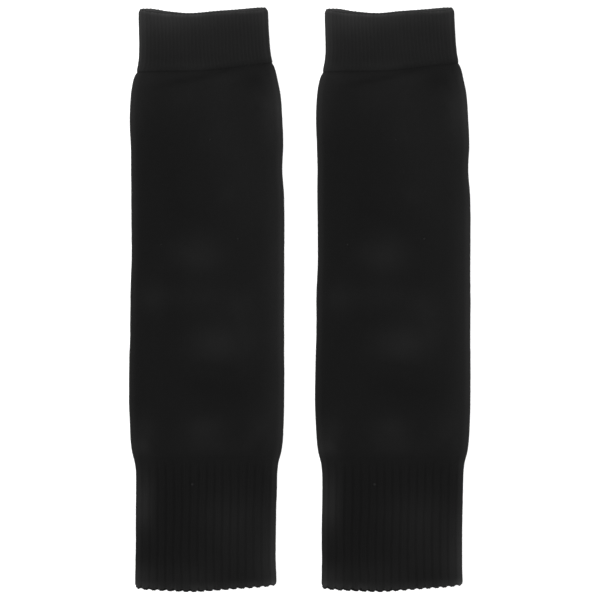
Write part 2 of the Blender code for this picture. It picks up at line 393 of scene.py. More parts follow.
# How high the plies of bare yarn stand in mm, how strongly they show, and the waves to a unit of their scale.
PLY_HEIGHT = 0.05
PLY_STRENGTH = 0.8
PLY_WAVES = 6.0

# A loose fibre of unit length, from below the surface to its bent tip, its taper, and its range of lengths.
FIBRE_LINE = ((0.0, 0.0, -0.10), (0.15, 0.0, 0.55), (0.85, 0.0, 0.45))
FIBRE_TAPER = 0.6
SHORTEST_FIBRE = 0.5
LONGEST_FIBRE = 1.4

# How far a loop's legs are apart at one end, as a share of their spread.
LOOP_END = 0.8

# Faces round a yarn and a fibre, and steps along them.
YARN_SIDES = 5
YARN_STEPS = 4
FIBRE_SIDES = 3
FIBRE_STEPS = 2

# Two faces that meet at more than this are shaded with a sharp edge.
SHARP_ANGLE = math.radians(60)


def along(rows, place, column="up"):
    """A column's value at each place, on a smooth curve through the rows."""
    places = np.array([row[0] for row in rows])
    values = np.array([getattr(row, column) for row in rows])
    place = np.clip(place, places[0], places[-1])
    step = np.clip(np.searchsorted(places, place, side="right") - 1, 0, len(rows) - 2)
    before = np.maximum(step - 1, 0)
    after = np.minimum(step + 2, len(rows) - 1)
    span = places[step + 1] - places[step]
    start_slope = (values[step + 1] - values[before]) / (places[step + 1] - places[before])
    end_slope = (values[after] - values[step]) / (places[after] - places[step])
    part = (place - places[step]) / span
    rise = values[step + 1] - values[step]
    bend = start_slope * span * (1 - part) - end_slope * span * part - rise * (1 - 2 * part)
    return values[step] + rise * part + part * (1 - part) * bend


def smooth_step(part):
    """Eases from 0 to 1."""
    part = np.clip(part, 0.0, 1.0)
    return part * part * (3 - 2 * part)


def soft_noise(x, y, seed):
    """Smooth, even noise from -1 to 1 with a new value about every unit."""
    size = 64
    lattice = np.random.default_rng(seed).uniform(-1, 1, (size, size))
    column = np.floor(x).astype(int)
    row = np.floor(y).astype(int)
    across = smooth_step(x - column)
    down = smooth_step(y - row)
    next_column = (column + 1) % size
    next_row = (row + 1) % size
    top = lattice[row % size, column % size] * (1 - across) + lattice[row % size, next_column] * across
    low = lattice[next_row, column % size] * (1 - across) + lattice[next_row, next_column] * across
    return top * (1 - down) + low * down


def fading(away, reach):
    """A soft round hill: 1 in its middle, and fading with the distance."""
    return np.exp(-((away / reach) ** 2))


def hills(rows, right, up):
    """The sum of soft round hills, each as high as its row's last column."""
    total = np.zeros(np.broadcast(right, up).shape)
    for row in rows:
        away = ((right - row.right) / row.reach_right) ** 2 + ((up - row.up) / row.reach_up) ** 2
        total += row[-1] * np.exp(-away)
    return total


def creases(rows, right, up):
    """The sum of soft creases, each deepest in its middle and fading towards both ends."""
    total = np.zeros(np.broadcast(right, up).shape)
    for row in rows:
        run_right = row.to_right - row.right
        run_up = row.to_up - row.up
        length = math.hypot(run_right, run_up)
        gone = ((right - row.right) * run_right + (up - row.up) * run_up) / length**2
        aside = ((right - row.right) * run_up - (up - row.up) * run_right) / length
        bow = row.bow * (1 - (2 * gone - 1) ** 2)
        fade = smooth_step(CREASE_FADE * (1 - np.abs(2 * gone - 1)))
        total += row.rise * fade * fading(aside + bow, row.reach)
    return total


def fold_waver(up, seed):
    """The small waver of a fold's edge, from side to side."""
    waves = enumerate(FOLD_WAVERS)
    return sum(soft_noise(up / length, 0.5, seed + step) * swing for step, (length, swing) in waves)


def wale_place(turn, up, seed):
    """Wales counted round the tube. They sway a little on their way up, and keep their place at the folds."""
    over = np.where(turn <= 1, turn, 2 - turn)
    sway = 0.0
    for step, (length, waves, wales) in enumerate(WALE_SWAYS):
        sway = sway + soft_noise(up / length, turn * waves, seed + step) * wales
    return (turn + 1) / 4 * NEEDLES + sway * (1 - over**2)


# A patch of a stretch's surface: its points, how high each stands on its rib, its place among the wales, how
# far it is inside the nearer fold, how a crease lifts it, and its share of the seam's groove.
Skin = namedtuple("Skin", "points rib wale from_fold folded groove")


@dataclass
class Stretch:
    """One knitted stretch of a sleeve as a flattened tube: its ends, how far they round off, and its ribs."""

    low_edge: list
    high_edge: list
    seed: int
    low_round: float = 0.0
    high_round: float = 0.0
    rib_wales: int = 0
    rib_height: float = 0.0

    @property
    def is_ankle(self):
        return self.low_edge is HEM

    @property
    def is_welt(self):
        return self.high_edge is RIM

    def from_seam(self, up, across):
        """How far a place is from the calf's seam into the welt or the ankle. In the calf it is below 0."""
        if self.is_welt:
            return up - along(WELT_SEAM, across)
        return along(ANKLE_SEAM, across) - up

    def thickness(self, up, across):
        """The wall: doubled in the welt and a little heavier in the ankle."""
        wall, rise = (WELT_WALL, WELT_RISE) if self.is_welt else (ANKLE_WALL, ANKLE_RISE)
        return CALF_WALL + (wall - CALF_WALL) * smooth_step(self.from_seam(up, across) / rise)

    def height_up(self, across, part, front, rib):
        """Distance above the hem line. Front is 1 on the front, 0 on the back and between at the folds."""
        from_fold = CORNER_HALF_WIDTH * 2 * np.minimum(across, 1 - across)
        low = along(self.low_edge, across) - along(self.low_edge, across, "lap") * front
        high = along(self.high_edge, across) - along(self.high_edge, across, "lap") * front
        if self.is_ankle:
            inside = np.maximum(HEM_CORNER - from_fold, 0)
            low = low + HEM_CORNER - np.sqrt(HEM_CORNER**2 - inside**2)
            low = low + SCALLOP * (1 - rib) + self.low_round
        else:
            low = low + SEAM_GAP / 2
        if self.is_welt:
            inside = np.maximum(RIM_CORNER - from_fold, 0)
            high = high - RIM_CORNER + np.sqrt(RIM_CORNER**2 - inside**2)
            high = high - RIM_NOTCH * (1 - rib) - self.high_round
        else:
            high = high - SEAM_GAP / 2
        return low + (high - low) * part

    def rib_shape(self, wale):
        """How high each place stands on its rib: 0 in a groove and 1 on a crest. An ankle rib's crest is two
        wales wide and a welt rib's is one."""
        if not self.rib_wales:
            return np.ones(wale.shape)
        phase = (wale + 0.5 if self.is_welt else wale) / self.rib_wales
        from_crest = np.abs(2 * (phase - np.floor(phase)) - 1)
        if self.is_welt:
            return 1 - smooth_step((from_crest - WELT_RIB_CREST) / WELT_RIB_SLOPE)
        crest = 1 - smooth_step((from_crest - ANKLE_RIB_CREST) / ANKLE_RIB_SLOPE)
        return crest - ANKLE_RIB_DIP * fading(from_crest, ANKLE_RIB_DIP_REACH)

    def rib_reach(self, up, across, rise):
        """Ribs grow out of the plain knitting beside the seams."""
        return smooth_step(self.from_seam(up, across) / rise)

    def skin(self, turn, part, depth, bulge):
        """A patch of the wall. Turn runs -1 to 1 over the front and on to 3 under the back; part runs 0 to 1
        from the ankle end; depth is 0 on the outside and 1 on the inside; bulge carries a round edge on."""
        turn = np.asarray(turn)[None, :]
        part = np.asarray(part)[:, None]
        depth = np.asarray(depth)[:, None]
        bulge = np.asarray(bulge)[:, None]
        is_front = turn <= 1
        over = np.where(is_front, turn, 2 - turn)
        side = np.where(over < 0, -1.0, 1.0)
        shape = np.broadcast(turn, part).shape
        rough_up = self.height_up((over + 1) / 2, part, 0.5, 1.0)
        half = (along(FOLDS, rough_up, "left") + along(FOLDS, rough_up, "right")) / 2
        wall = self.thickness(rough_up, (over + 1) / 2)

        radius = wall + FOLD_GAP / 2
        edge = radius / half
        share = math.pi / 2 * edge / (1 - edge + math.pi / 2 * edge)
        on_flat = np.abs(over) <= 1 - share
        angle = np.clip((np.abs(over) - 1 + share) / share, 0, 1) * math.pi / 2
        reach = np.where(on_flat, over / (1 - share) * (1 - edge), side * (1 - edge + edge * np.sin(angle)))
        facing_side = np.where(on_flat, 0.0, side * np.sin(angle))
        facing_up = np.where(on_flat, 1.0, np.cos(angle)) * np.where(is_front, 1.0, -1.0)
        front = (1 + facing_up) / 2
        across = (reach + 1) / 2

        wale = wale_place(turn, rough_up, self.seed)
        rib = self.rib_shape(wale)
        up = self.height_up(across, part, front, rib)
        left = along(FOLDS, up, "left") + fold_waver(up, self.seed + 2)
        right = along(FOLDS, up, "right") + fold_waver(up, self.seed + 4)
        place = (right - left) / 2 + (right + left) / 2 * reach
        from_fold = (1 - edge - np.abs(reach)) * half
        opened = fading(np.maximum(from_fold, 0), FOLD_REACH)
        gap = LAYER_GAP + (FOLD_GAP - LAYER_GAP) * opened + hills(SWELLS, place, up) * (1 - opened)
        level = np.where(is_front, 2 * wall + gap, 0.0)
        level = np.where(on_flat, level, radius + radius * facing_up)

        # What stands up on the front is cut into the flat underside instead.
        lower = smooth_step(-facing_up)
        ribbed = self.rib_reach(rough_up, across, ANKLE_RIB_RISE if self.is_ankle else WELT_RIB_RISE)
        ribs = self.rib_height * (rib - lower) * ribbed
        wale_crest = 0.5 - 0.5 * np.cos(2 * math.pi * wale)
        wales = 0.0 if self.is_welt else WALE_RELIEF * (wale_crest - lower)
        groove = fading(up - along(WELT_SEAM, across), GROOVE_REACH)
        folded = np.where(is_front, creases(FRONT_CREASES, place, up), creases(BACK_CREASES, place, up))
        rumple = 0.0
        for step, (reach_right, reach_up, height) in enumerate(RUMPLES):
            rumple = rumple + soft_noise(place / reach_right, up / reach_up, self.seed + 6 + step) * height
        rumple = np.where(is_front, rumple, -np.abs(rumple))
        folded = folded * (1 - opened)
        relief = ribs + wales - GROOVE_DEPTH * groove + folded + rumple * (1 - opened)
        out = relief * (1 - depth) - wall * depth
        points = np.stack([place + out * facing_side, up + bulge + 0 * out, level + out * facing_up], axis=2)
        return Skin(points, np.broadcast_to(rib, shape), wale, from_fold, folded, groove)

    def long_way(self, steps, inner_steps, round_steps):
        """Part, depth and bulge of each row: up the outside, over the end, down the inside and back."""
        outer = np.linspace(0, 1, steps)
        inner = np.linspace(1, 0, inner_steps)
        curve = math.pi * np.arange(1, round_steps + 1) / (round_steps + 1)
        depth_over = (1 - np.cos(curve)) / 2
        part = np.concatenate([outer, np.ones(round_steps), inner, np.zeros(round_steps)])
        depth = np.concatenate([np.zeros(steps), depth_over, np.ones(inner_steps), 1 - depth_over])
        over_high = self.high_round * np.sin(curve)
        over_low = -self.low_round * np.sin(curve)
        bulge = np.concatenate([np.zeros(steps), over_high, np.zeros(inner_steps), over_low])
        return part, depth, bulge


def band_gain(light_band, away, share=1.0):
    """The factor of a band of painted light this far from where it is strongest; a gain below 0 makes it
    painted shade.
    """
    return 1 + light_band.gain * share * fading(away, light_band.reach)


def painted_shading_gain(stretch, turn, part, depth, skin):
    """How much lighter or darker each place is painted: patches of painted light and shade, painted shade in
    creases and by the seam, and painted highlights at the ends and the folds.
    """
    right = skin.points[:, :, 0]
    up = skin.points[:, :, 1]
    is_front = (turn <= 1)[None, :]
    patches = np.where(is_front, hills(FRONT_PAINTED_SHADING, right, up), hills(BACK_PAINTED_SHADING, right, up))
    fold_painted_sheen = WELT_FOLD_PAINTED_SHEEN if stretch.is_welt else FOLD_PAINTED_SHEEN
    gain = (1 + patches) * band_gain(fold_painted_sheen, np.maximum(skin.from_fold, 0))
    gain = gain * (1 + CREASE_SHADE * np.minimum(skin.folded, 0))
    gain = gain * (1 - GROOVE_SHADE * skin.groove)
    length = up.max() - up.min()
    patchy = soft_noise(right / HIGHLIGHT_PATCH_ACROSS, up / HIGHLIGHT_PATCH_UP, stretch.seed + 8)
    patchy = 1 + HIGHLIGHT_PATCHINESS * patchy
    from_low = part[:, None] * length
    from_high = (1 - part[:, None]) * length
    if stretch.is_welt:
        gain = gain * band_gain(SEAM_SHADE, from_low)
        gain = gain * band_gain(RIM_PAINTED_HIGHLIGHT, from_high, patchy)
        gain = gain * band_gain(RIM_LAP_PAINTED_LIGHT, from_high, depth[:, None])
    if stretch.is_ankle:
        gain = gain * band_gain(HEM_PAINTED_HIGHLIGHT, from_low, patchy)
    return gain


def new_object(name, data):
    """An object of the scene."""
    made = bpy.data.objects.new(name, data)
    bpy.context.scene.collection.objects.link(made)
    return made


def set_marks(mesh, marks, kind="FLOAT", field="value"):
    """Puts one number or direction on each point for each named mark."""
    for name, values in marks.items():
        attribute = mesh.attributes.new(name, kind, "POINT")
        attribute.data.foreach_set(field, np.ascontiguousarray(values, dtype=np.float32).ravel())


def unit(vectors):
    """The directions of a row of vectors."""
    return vectors / np.linalg.norm(vectors, axis=1)[:, None]


def face_corners(grid):
    """The four corners of each face of a grid, in order."""
    return np.stack([grid[:-1, :-1], grid[:-1, 1:], grid[1:, 1:], grid[1:, :-1]], axis=2)


def turn_outwards(mesh):
    """Makes the faces look outwards."""
    shell = bmesh.new()
    shell.from_mesh(mesh)
    if shell.calc_volume(signed=True) < 0:
        bmesh.ops.reverse_faces(shell, faces=shell.faces)
        shell.to_mesh(mesh)
    shell.free()


def wall_mesh(name, stretch, knit, origin):
    """The stretch as one closed wall, with its stitch map and its marks for ribs, loose nap, outside, and
    painted light and shade.
    """
    turn = np.linspace(-1, 3, knit.turns, endpoint=False)
    part, depth, bulge = stretch.long_way(knit.steps, knit.inner_steps, knit.round_steps)
    skin = stretch.skin(turn, part, depth, bulge)
    points = skin.points
    rows, columns = points.shape[:2]
    index = np.pad(np.arange(rows * columns).reshape(rows, columns), (0, 1), mode="wrap")
    mesh = bpy.data.meshes.new(name)
    mesh.from_pydata((points * MM + np.array(origin)).reshape(-1, 3), [], face_corners(index).reshape(-1, 4))

    # The stitch map: once round the tube, and once up the outside and back down the inside.
    steps_long = np.linalg.norm(np.roll(points, -1, axis=0) - points, axis=2).mean(axis=1)
    long_place = np.concatenate([[0.0], np.cumsum(steps_long)])
    stretch.loop_length = float(long_place[-1])
    long_place = np.broadcast_to(long_place[:, None] / long_place[-1], (rows + 1, columns + 1))
    round_place = np.concatenate([skin.wale, skin.wale[:, :1] + NEEDLES], axis=1) / NEEDLES
    round_place = np.concatenate([round_place, round_place[:1]])
    knit_map = np.stack([face_corners(round_place), face_corners(long_place)], axis=3)
    mesh.uv_layers.new(name="knit").data.foreach_set("uv", knit_map.astype(np.float32).ravel())

    outside = np.broadcast_to((1 - depth)[:, None], (rows, columns))
    # The rib mark sets the painted shade in the ribs' grooves, which is patchy, and the last mark is the
    # factor of painted light and shade.
    shade_rise = ANKLE_SHADE_RISE if stretch.is_ankle else WELT_RIB_RISE
    right, up, level = np.moveaxis(points, 2, 0)
    shut = 0.5 - 0.5 * soft_noise(right / RIB_PATCH_ACROSS, up / RIB_PATCH_UP, stretch.seed + 9)
    closed = (1 - skin.rib) * stretch.rib_reach(up, 0.5, shade_rise)
    rib = 1 - closed * (1 - RIB_UNEVENNESS * shut)
    napped = smooth_step((level - NAP_LEVEL) / NAP_RISE) * (outside > NAP_OUTER_PART)
    set_marks(mesh, {
        "rib": rib, "outside": outside, "nap": napped, "painted_shading": painted_shading_gain(stretch, turn, part, depth, skin),
    })
    mesh.shade_smooth()
    mesh.set_sharp_from_angle(angle=SHARP_ANGLE)
    turn_outwards(mesh)
    return mesh


def grey(level):
    """A colour without any tint."""
    return (level, level, level, 1.0)


class Wiring:
    """Adds and joins the nodes of one tree."""

    def __init__(self, tree):
        self.tree = tree

    def feed(self, node, inputs):
        """Gives each input its value, or joins another node's output to it."""
        for socket, value in inputs.items():
            if isinstance(value, bpy.types.NodeSocket):
                self.tree.links.new(value, node.inputs[socket])
            else:
                node.inputs[socket].default_value = value

    def add(self, kind, inputs=None, **settings):
        """A new node."""
        node = self.tree.nodes.new(kind)
        for setting, value in settings.items():
            setattr(node, setting, value)
        self.feed(node, inputs or {})
        return node

    def first(self, kind, inputs=None, **settings):
        """The first output of a new node."""
        return self.add(kind, inputs, **settings).outputs[0]

    def math(self, operation, *values):
        return self.first("ShaderNodeMath", dict(enumerate(values)), operation=operation)

    def plus(self, first, second):
        return self.math("ADD", first, second)

    def minus(self, first, second):
        return self.math("SUBTRACT", first, second)

    def times(self, first, second):
        return self.math("MULTIPLY", first, second)

    def half_wave(self, part):
        return self.math("SINE", self.times(part, math.pi))

    def vector(self, x, y, z):
        return self.first("ShaderNodeCombineXYZ", {0: x, 1: y, 2: z})

    def scaled(self, vector, factor):
        return self.first("ShaderNodeVectorMath", {0: vector, "Scale": factor}, operation="SCALE")

    def object_place(self):
        return self.add("ShaderNodeTexCoord").outputs["Object"]

    def noise(self, place, scale, detail, roughness=0.5):
        inputs = {"Vector": place, "Scale": scale, "Detail": detail, "Roughness": roughness}
        return self.first("ShaderNodeTexNoise", inputs)

    def surface_mark(self, name):
        return self.add("ShaderNodeAttribute", attribute_name=name).outputs["Fac"]

    def mark(self, name, data_type="FLOAT"):
        return self.first("GeometryNodeInputNamedAttribute", {"Name": name}, data_type=data_type)

    def random(self, low, high, seed, data_type="FLOAT"):
        is_vector = data_type == "FLOAT_VECTOR"
        inputs = {0: low, 1: high, 8: seed} if is_vector else {2: low, 3: high, 8: seed}
        return self.add("FunctionNodeRandomValue", inputs, data_type=data_type).outputs[0 if is_vector else 1]

    def strand(self, line, steps, radius, sides, taper=1.0):
        """A round strand along a line from its start, bent towards its middle, to its end."""
        bent = {"Resolution": steps, **dict(zip(("Start", "Middle", "End"), line))}
        curve = self.first("GeometryNodeCurveQuadraticBezier", bent)
        profile = self.first("GeometryNodeCurvePrimitiveCircle", {"Resolution": sides, "Radius": radius})
        inputs = {"Curve": curve, "Profile Curve": profile, "Scale": taper, "Fill Caps": True}
        return self.first("GeometryNodeCurveToMesh", inputs)

    def put_out(self, outputs):
        """Ends a group, and gives its tree."""
        self.add("NodeGroupOutput", outputs)
        return self.tree

    def put_out_copies(self, points, instance, rotation, scale, material):
        """Ends a tree with a copy on every point, as real geometry, smooth and in its own material."""
        placed = {"Points": points, "Instance": instance, "Rotation": rotation, "Scale": scale}
        placed = self.first("GeometryNodeInstanceOnPoints", placed)
        real = self.first("GeometryNodeRealizeInstances", {0: placed})
        smooth = self.first("GeometryNodeSetShadeSmooth", {0: real})
        finished = self.first("GeometryNodeSetMaterial", {"Geometry": smooth, "Material": material})
        return self.put_out({0: finished})


SOCKET_TYPES = {float: "NodeSocketFloat", int: "NodeSocketInt", tuple: "NodeSocketColor"}


def new_group(name, inputs, outputs, kind="ShaderNodeTree"):
    """An empty node group with named sockets: its wiring, and what it is given. Each input is a first value,
    or the type of a socket without one. Each output is a type."""
    tree = bpy.data.node_groups.new(name, kind)
    for socket, value in inputs.items():
        has_value = not isinstance(value, str)
        socket_type = SOCKET_TYPES[type(value)] if has_value else value
        made = tree.interface.new_socket(socket, in_out="INPUT", socket_type=socket_type)
        if has_value:
            made.default_value = value
    for socket, socket_type in outputs.items():
        tree.interface.new_socket(socket, in_out="OUTPUT", socket_type=socket_type)
    wire = Wiring(tree)
    return wire, wire.add("NodeGroupInput").outputs


def new_tree(name, source, values, material, grown):
    """An empty tree that grows geometry from a source, by its values and a seed, in a material."""
    inputs = {source: "NodeSocketGeometry", **values, "Seed": 1, material: "NodeSocketMaterial"}
    return new_group(name, inputs, {grown: "NodeSocketGeometry"}, "GeometryNodeTree")


def stitch_group():
    """Knitting from a map: V stitches in columns on the face, and rows of purl bumps on the back and in the
    grooves of ribs."""
    wire, given = new_group("knit_stitches", {
        "Map": "NodeSocketVector", "Wales": 144.0, "Courses": 300.0, "Slant": 0.75, "Fray": 0.2, "Face": 1.0,
    }, {"Height": "NodeSocketFloat", "Cavity": "NodeSocketFloat"})
    split = wire.add("ShaderNodeSeparateXYZ", {0: given["Map"]}).outputs
    in_wale = wire.math("FRACT", wire.times(split["X"], given["Wales"]))
    course = wire.times(split["Y"], given["Courses"])
    from_middle = wire.math("ABSOLUTE", wire.minus(wire.times(in_wale, 2.0), 1.0))

    # The face: two legs to each wale, both slanting up and away from its middle.
    leg = wire.math("POWER", wire.math("MAXIMUM", wire.half_wave(from_middle), 0.0), LEG_SHARPNESS)
    slid = wire.minus(course, wire.times(from_middle, given["Slant"]))
    bead = wire.half_wave(wire.math("FRACT", slid))
    bead = wire.plus(wire.times(bead, BEAD_DEPTH), 1 - BEAD_DEPTH)
    face_stitch = wire.times(leg, bead)

    # The back: each course is a row of arcs that hook over one another.
    arc = wire.times(wire.times(from_middle, from_middle), ARC_RISE)
    bump_row = wire.math("FRACT", wire.plus(course, arc))
    purl = wire.times(wire.half_wave(bump_row), wire.minus(1.0, wire.times(from_middle, PURL_DROP)))

    stitch = wire.times(face_stitch, given["Face"])
    stitch = wire.plus(stitch, wire.times(purl, wire.minus(1.0, given["Face"])))
    loose = wire.minus(wire.noise(wire.object_place(), HAIR_SCALE, 2.0, 0.6), 0.5)
    height = wire.plus(stitch, wire.times(loose, given["Fray"]))
    cavity = wire.math("MINIMUM", wire.math("MAXIMUM", height, 0.0), 1.0)
    return wire.put_out({"Height": height, "Cavity": cavity})


def tone_group():
    """The yarn's tone: mottled dye, painted shade between stitches and in the ribs' grooves, and the piece's
    painted light and shade.
    """
    wire, given = new_group("yarn_tone", {
        "Tone": grey(0.01), "Cavity": 1.0, "Rib": 1.0, "PaintedShading": 1.0,
        "Stitch Shade": 0.45, "Groove Shade": 0.4, "Mottle": 0.3,
    }, {"Color": "NodeSocketColor", "Roughness": "NodeSocketFloat"})
    place = wire.object_place()
    wide = wire.noise(place, WIDE_MOTTLE_SCALE, 3.0, 0.55)
    fine = wire.noise(place, FINE_MOTTLE_SCALE, 3.0, 0.65)
    mixed = wire.plus(wire.times(wide, WIDE_MOTTLE_SHARE), wire.times(fine, 1 - WIDE_MOTTLE_SHARE))
    shade = wire.plus(wire.times(wire.minus(mixed, 0.5), given["Mottle"]), 1.0)
    # Painted shade between stitches and in the ribs' grooves.
    for openness, strength in (("Cavity", "Stitch Shade"), ("Rib", "Groove Shade")):
        shadow = wire.times(wire.minus(1.0, given[openness]), given[strength])
        shade = wire.times(shade, wire.minus(1.0, shadow))
    # Painted light and shade from the piece's mark.
    shade = wire.times(shade, given["PaintedShading"])
    roughness = wire.plus(ROUGHNESS, wire.times(fine, ROUGHNESS_MOTTLE))
    return wire.put_out({"Color": wire.scaled(given["Tone"], shade), "Roughness": roughness})


STITCHES = stitch_group()
YARN = tone_group()

# Each knit's slot, base tone, stitch height in mm, painted shade in its ribs' grooves and loose fibres to the
# square metre,
# and its mesh: places round the tube, steps up the outside and the inside, and steps over an end.
Knit = namedtuple("Knit", "slot tone bump groove_shade fibres turns steps inner_steps round_steps")
KNITS = {
    "knee_welt": Knit("knee_welt_knit", 0.0114, 0.20, 0.16, 110000.0, 576, 46, 10, 5),
    "calf_tube": Knit("calf_knit", 0.0068, 0.24, 0.0, 80000.0, 576, 112, 12, 2),
    "ankle_rib": Knit("ankle_rib_knit", 0.0065, 0.24, 0.18, 90000.0, 720, 72, 12, 5),
}

MATT_TEXTILE = {
    "Specular IOR Level": 0.05, "Sheen Weight": 0.06, "Sheen Roughness": 0.35, "Sheen Tint": grey(1.0),
}


def new_material(name, values):
    """A material with its shader's plain values, and nothing joined up yet."""
    material = bpy.data.materials.new(name)
    material.use_nodes = True
    shader = material.node_tree.nodes["Principled BSDF"]
    wire = Wiring(material.node_tree)
    wire.feed(shader, values)
    return material, shader, wire


def add_yarn(wire, shader, height, strength, rise, inputs):
    """The yarn's tone, with the painted light and shade from the piece's own mark, and its relief, with the
    rise in mm.
    """
    inputs = {"PaintedShading": wire.surface_mark("painted_shading"), **inputs}
    yarn = wire.add("ShaderNodeGroup", inputs, node_tree=YARN).outputs
    raised = wire.add("ShaderNodeBump", {"Strength": strength, "Distance": rise * MM, "Height": height})
    wire.feed(shader, {
        "Base Color": yarn["Color"], "Roughness": yarn["Roughness"], "Normal": raised.outputs["Normal"],
    })


def knit_material(knit, courses):
    """Knitted cloth: stitches from the piece's own map, the ribs' stitches and painted groove shade, and
    painted light and shade from its marks.
    """
    material, shader, wire = new_material(knit.slot, MATT_TEXTILE)
    rib = wire.surface_mark("rib")
    stitches = wire.add("ShaderNodeGroup", {
        "Map": wire.first("ShaderNodeUVMap", uv_map="knit"), "Wales": NEEDLES, "Courses": courses,
        "Face": wire.times(rib, wire.surface_mark("outside")),
    }, node_tree=STITCHES).outputs
    add_yarn(wire, shader, stitches["Height"], 1.0, knit.bump, {
        "Tone": grey(knit.tone), "Stitch Shade": 0.30, "Groove Shade": knit.groove_shade,
        "Cavity": stitches["Cavity"], "Rib": rib,
    })
    return material


def yarn_material(name, tone, twist):
    """Bare yarn: plies twisted round each other, twist apart in mm."""
    material, shader, wire = new_material(name, MATT_TEXTILE)
    place = wire.object_place()
    waves = {"Vector": place, "Scale": 1 / (twist * MM) / PLY_WAVES, "Distortion": 1.5, "Detail": 1.0}
    plies = wire.add("ShaderNodeTexWave", waves, bands_direction="DIAGONAL").outputs["Fac"]
    # Painted shade between the plies, and the piece's painted light and shade.
    add_yarn(wire, shader, plies, PLY_STRENGTH, PLY_HEIGHT, {
        "Tone": grey(tone), "Stitch Shade": 0.35, "Groove Shade": 0.0, "Cavity": plies,
    })
    return material


# The floor's tones, from one side of its grain to the other.
FLOOR_TONES = (0.88, 0.92)


def floor_material():
    """Pale matt card with a very faint grain, lit from below like a light table."""
    card = {"Emission Strength": 0.52, "Roughness": 0.95, "Specular IOR Level": 0.1}
    material, shader, wire = new_material("pale_card", card)
    ramp = wire.add("ShaderNodeValToRGB", {0: wire.noise(wire.object_place(), 60.0, 3.0)})
    for element, tone in zip(ramp.color_ramp.elements, FLOOR_TONES):
        element.color = grey(tone)
    wire.feed(shader, {"Base Color": ramp.outputs[0], "Emission Color": ramp.outputs[0]})
    return material


def chain_tree():
    """A chain of yarn loops along a path: at each point two short strands that spread like a V."""
    sizes = {"Yarn Radius": 0.0003, "Span": 0.0015, "Spread": 0.0004, "Rise": 0.0003, "Sink": 0.0004}
    wire, given = new_tree("yarn_chain", "Path", {**sizes, "Unevenness": 0.1}, "Yarn", "Chain")
    half_span = wire.times(given["Span"], 0.5)
    back_span = wire.times(half_span, -1.0)
    sink = wire.times(given["Sink"], -1.0)
    crown = wire.plus(wire.times(given["Rise"], 2.0), given["Sink"])
    strands = wire.add("GeometryNodeJoinGeometry")
    for side in (1.0, -1.0):
        spread = wire.times(given["Spread"], side)
        line = (
            wire.vector(back_span, 0.0, sink),
            wire.vector(0.0, spread, crown),
            wire.vector(half_span, wire.times(spread, LOOP_END), sink),
        )
        wire.feed(strands, {0: wire.strand(line, YARN_STEPS, given["Yarn Radius"], YARN_SIDES)})
    facing = {0: wire.mark("outward", "FLOAT_VECTOR"), 1: wire.mark("onward", "FLOAT_VECTOR")}
    turned = wire.first("FunctionNodeAxesToRotation", facing, primary_axis="Z", secondary_axis="X")
    smallest = wire.minus(1.0, given["Unevenness"])
    largest = wire.plus(1.0, given["Unevenness"])
    size = wire.random(smallest, largest, given["Seed"])
    return wire.put_out_copies(given["Path"], strands.outputs[0], turned, size, given["Yarn"])


def nap_tree():
    """Loose fibres that stand out of the cloth and bend over, thick where the cloth's nap mark is high."""
    values = {"Fibres per Area": 90000.0, "Fibre Length": 0.0010, "Fibre Radius": 0.00003, "Tilt": 0.5}
    wire, given = new_tree("loose_nap", "Cloth", values, "Fibre", "Nap")
    seed = given["Seed"]
    length = given["Fibre Length"]
    density = wire.times(wire.mark("nap"), given["Fibres per Area"])
    spread = {"Mesh": given["Cloth"], "Density": density, "Seed": seed}
    spread = wire.add("GeometryNodeDistributePointsOnFaces", spread).outputs

    # One fibre of unit length, thinner towards its tip.
    thin = wire.math("DIVIDE", given["Fibre Radius"], length)
    gone = wire.add("GeometryNodeSplineParameter").outputs["Factor"]
    taper = wire.minus(1.0, wire.times(gone, FIBRE_TAPER))
    strand = wire.strand(FIBRE_LINE, FIBRE_STEPS, thin, FIBRE_SIDES, taper)

    tilt = given["Tilt"]
    least = wire.vector(wire.times(tilt, -1.0), wire.times(tilt, -1.0), 0.0)
    most = wire.vector(tilt, tilt, 2 * math.pi)
    swing = wire.first("FunctionNodeEulerToRotation", {0: wire.random(least, most, seed, "FLOAT_VECTOR")})
    turns = {0: spread["Rotation"], 1: swing}
    turned = wire.first("FunctionNodeRotateRotation", turns, rotation_space="LOCAL")
    shortest = wire.times(length, SHORTEST_FIBRE)
    longest = wire.times(length, LONGEST_FIBRE)
    size = wire.random(shortest, longest, wire.plus(seed, 7.0))
    return wire.put_out_copies(spread["Points"], strand, turned, size, given["Fibre"])


def pill_tree():
    """Small tangled pills of rubbed yarn, one at each point, each as large as its mark says."""
    wire, given = new_tree("yarn_pills", "Places", {"Lumpiness": 0.9}, "Yarn", "Pills")
    ball = wire.first("GeometryNodeMeshIcoSphere", {"Radius": 1.0, "Subdivisions": 3})
    lumps = wire.first("ShaderNodeTexNoise", {"Scale": 1.6, "Detail": 2.0})
    push = wire.times(wire.minus(lumps, 0.5), given["Lumpiness"])
    offset = wire.scaled(wire.first("GeometryNodeInputNormal"), push)
    lumpy = wire.first("GeometryNodeSetPosition", {"Geometry": ball, "Offset": offset})
    swing = wire.random((0.0, 0.0, 0.0), (math.pi, math.pi, math.pi), given["Seed"], "FLOAT_VECTOR")
    turned = wire.first("FunctionNodeEulerToRotation", {0: swing})
    return wire.put_out_copies(given["Places"], lumpy, turned, wire.mark("radius"), given["Yarn"])


CHAIN = chain_tree()
NAP = nap_tree()
PILLING = pill_tree()

# Marks that only guide the growing, and come off what has grown.
GUIDE_MARKS = ("rib", "outside", "nap", "outward", "onward", "radius")


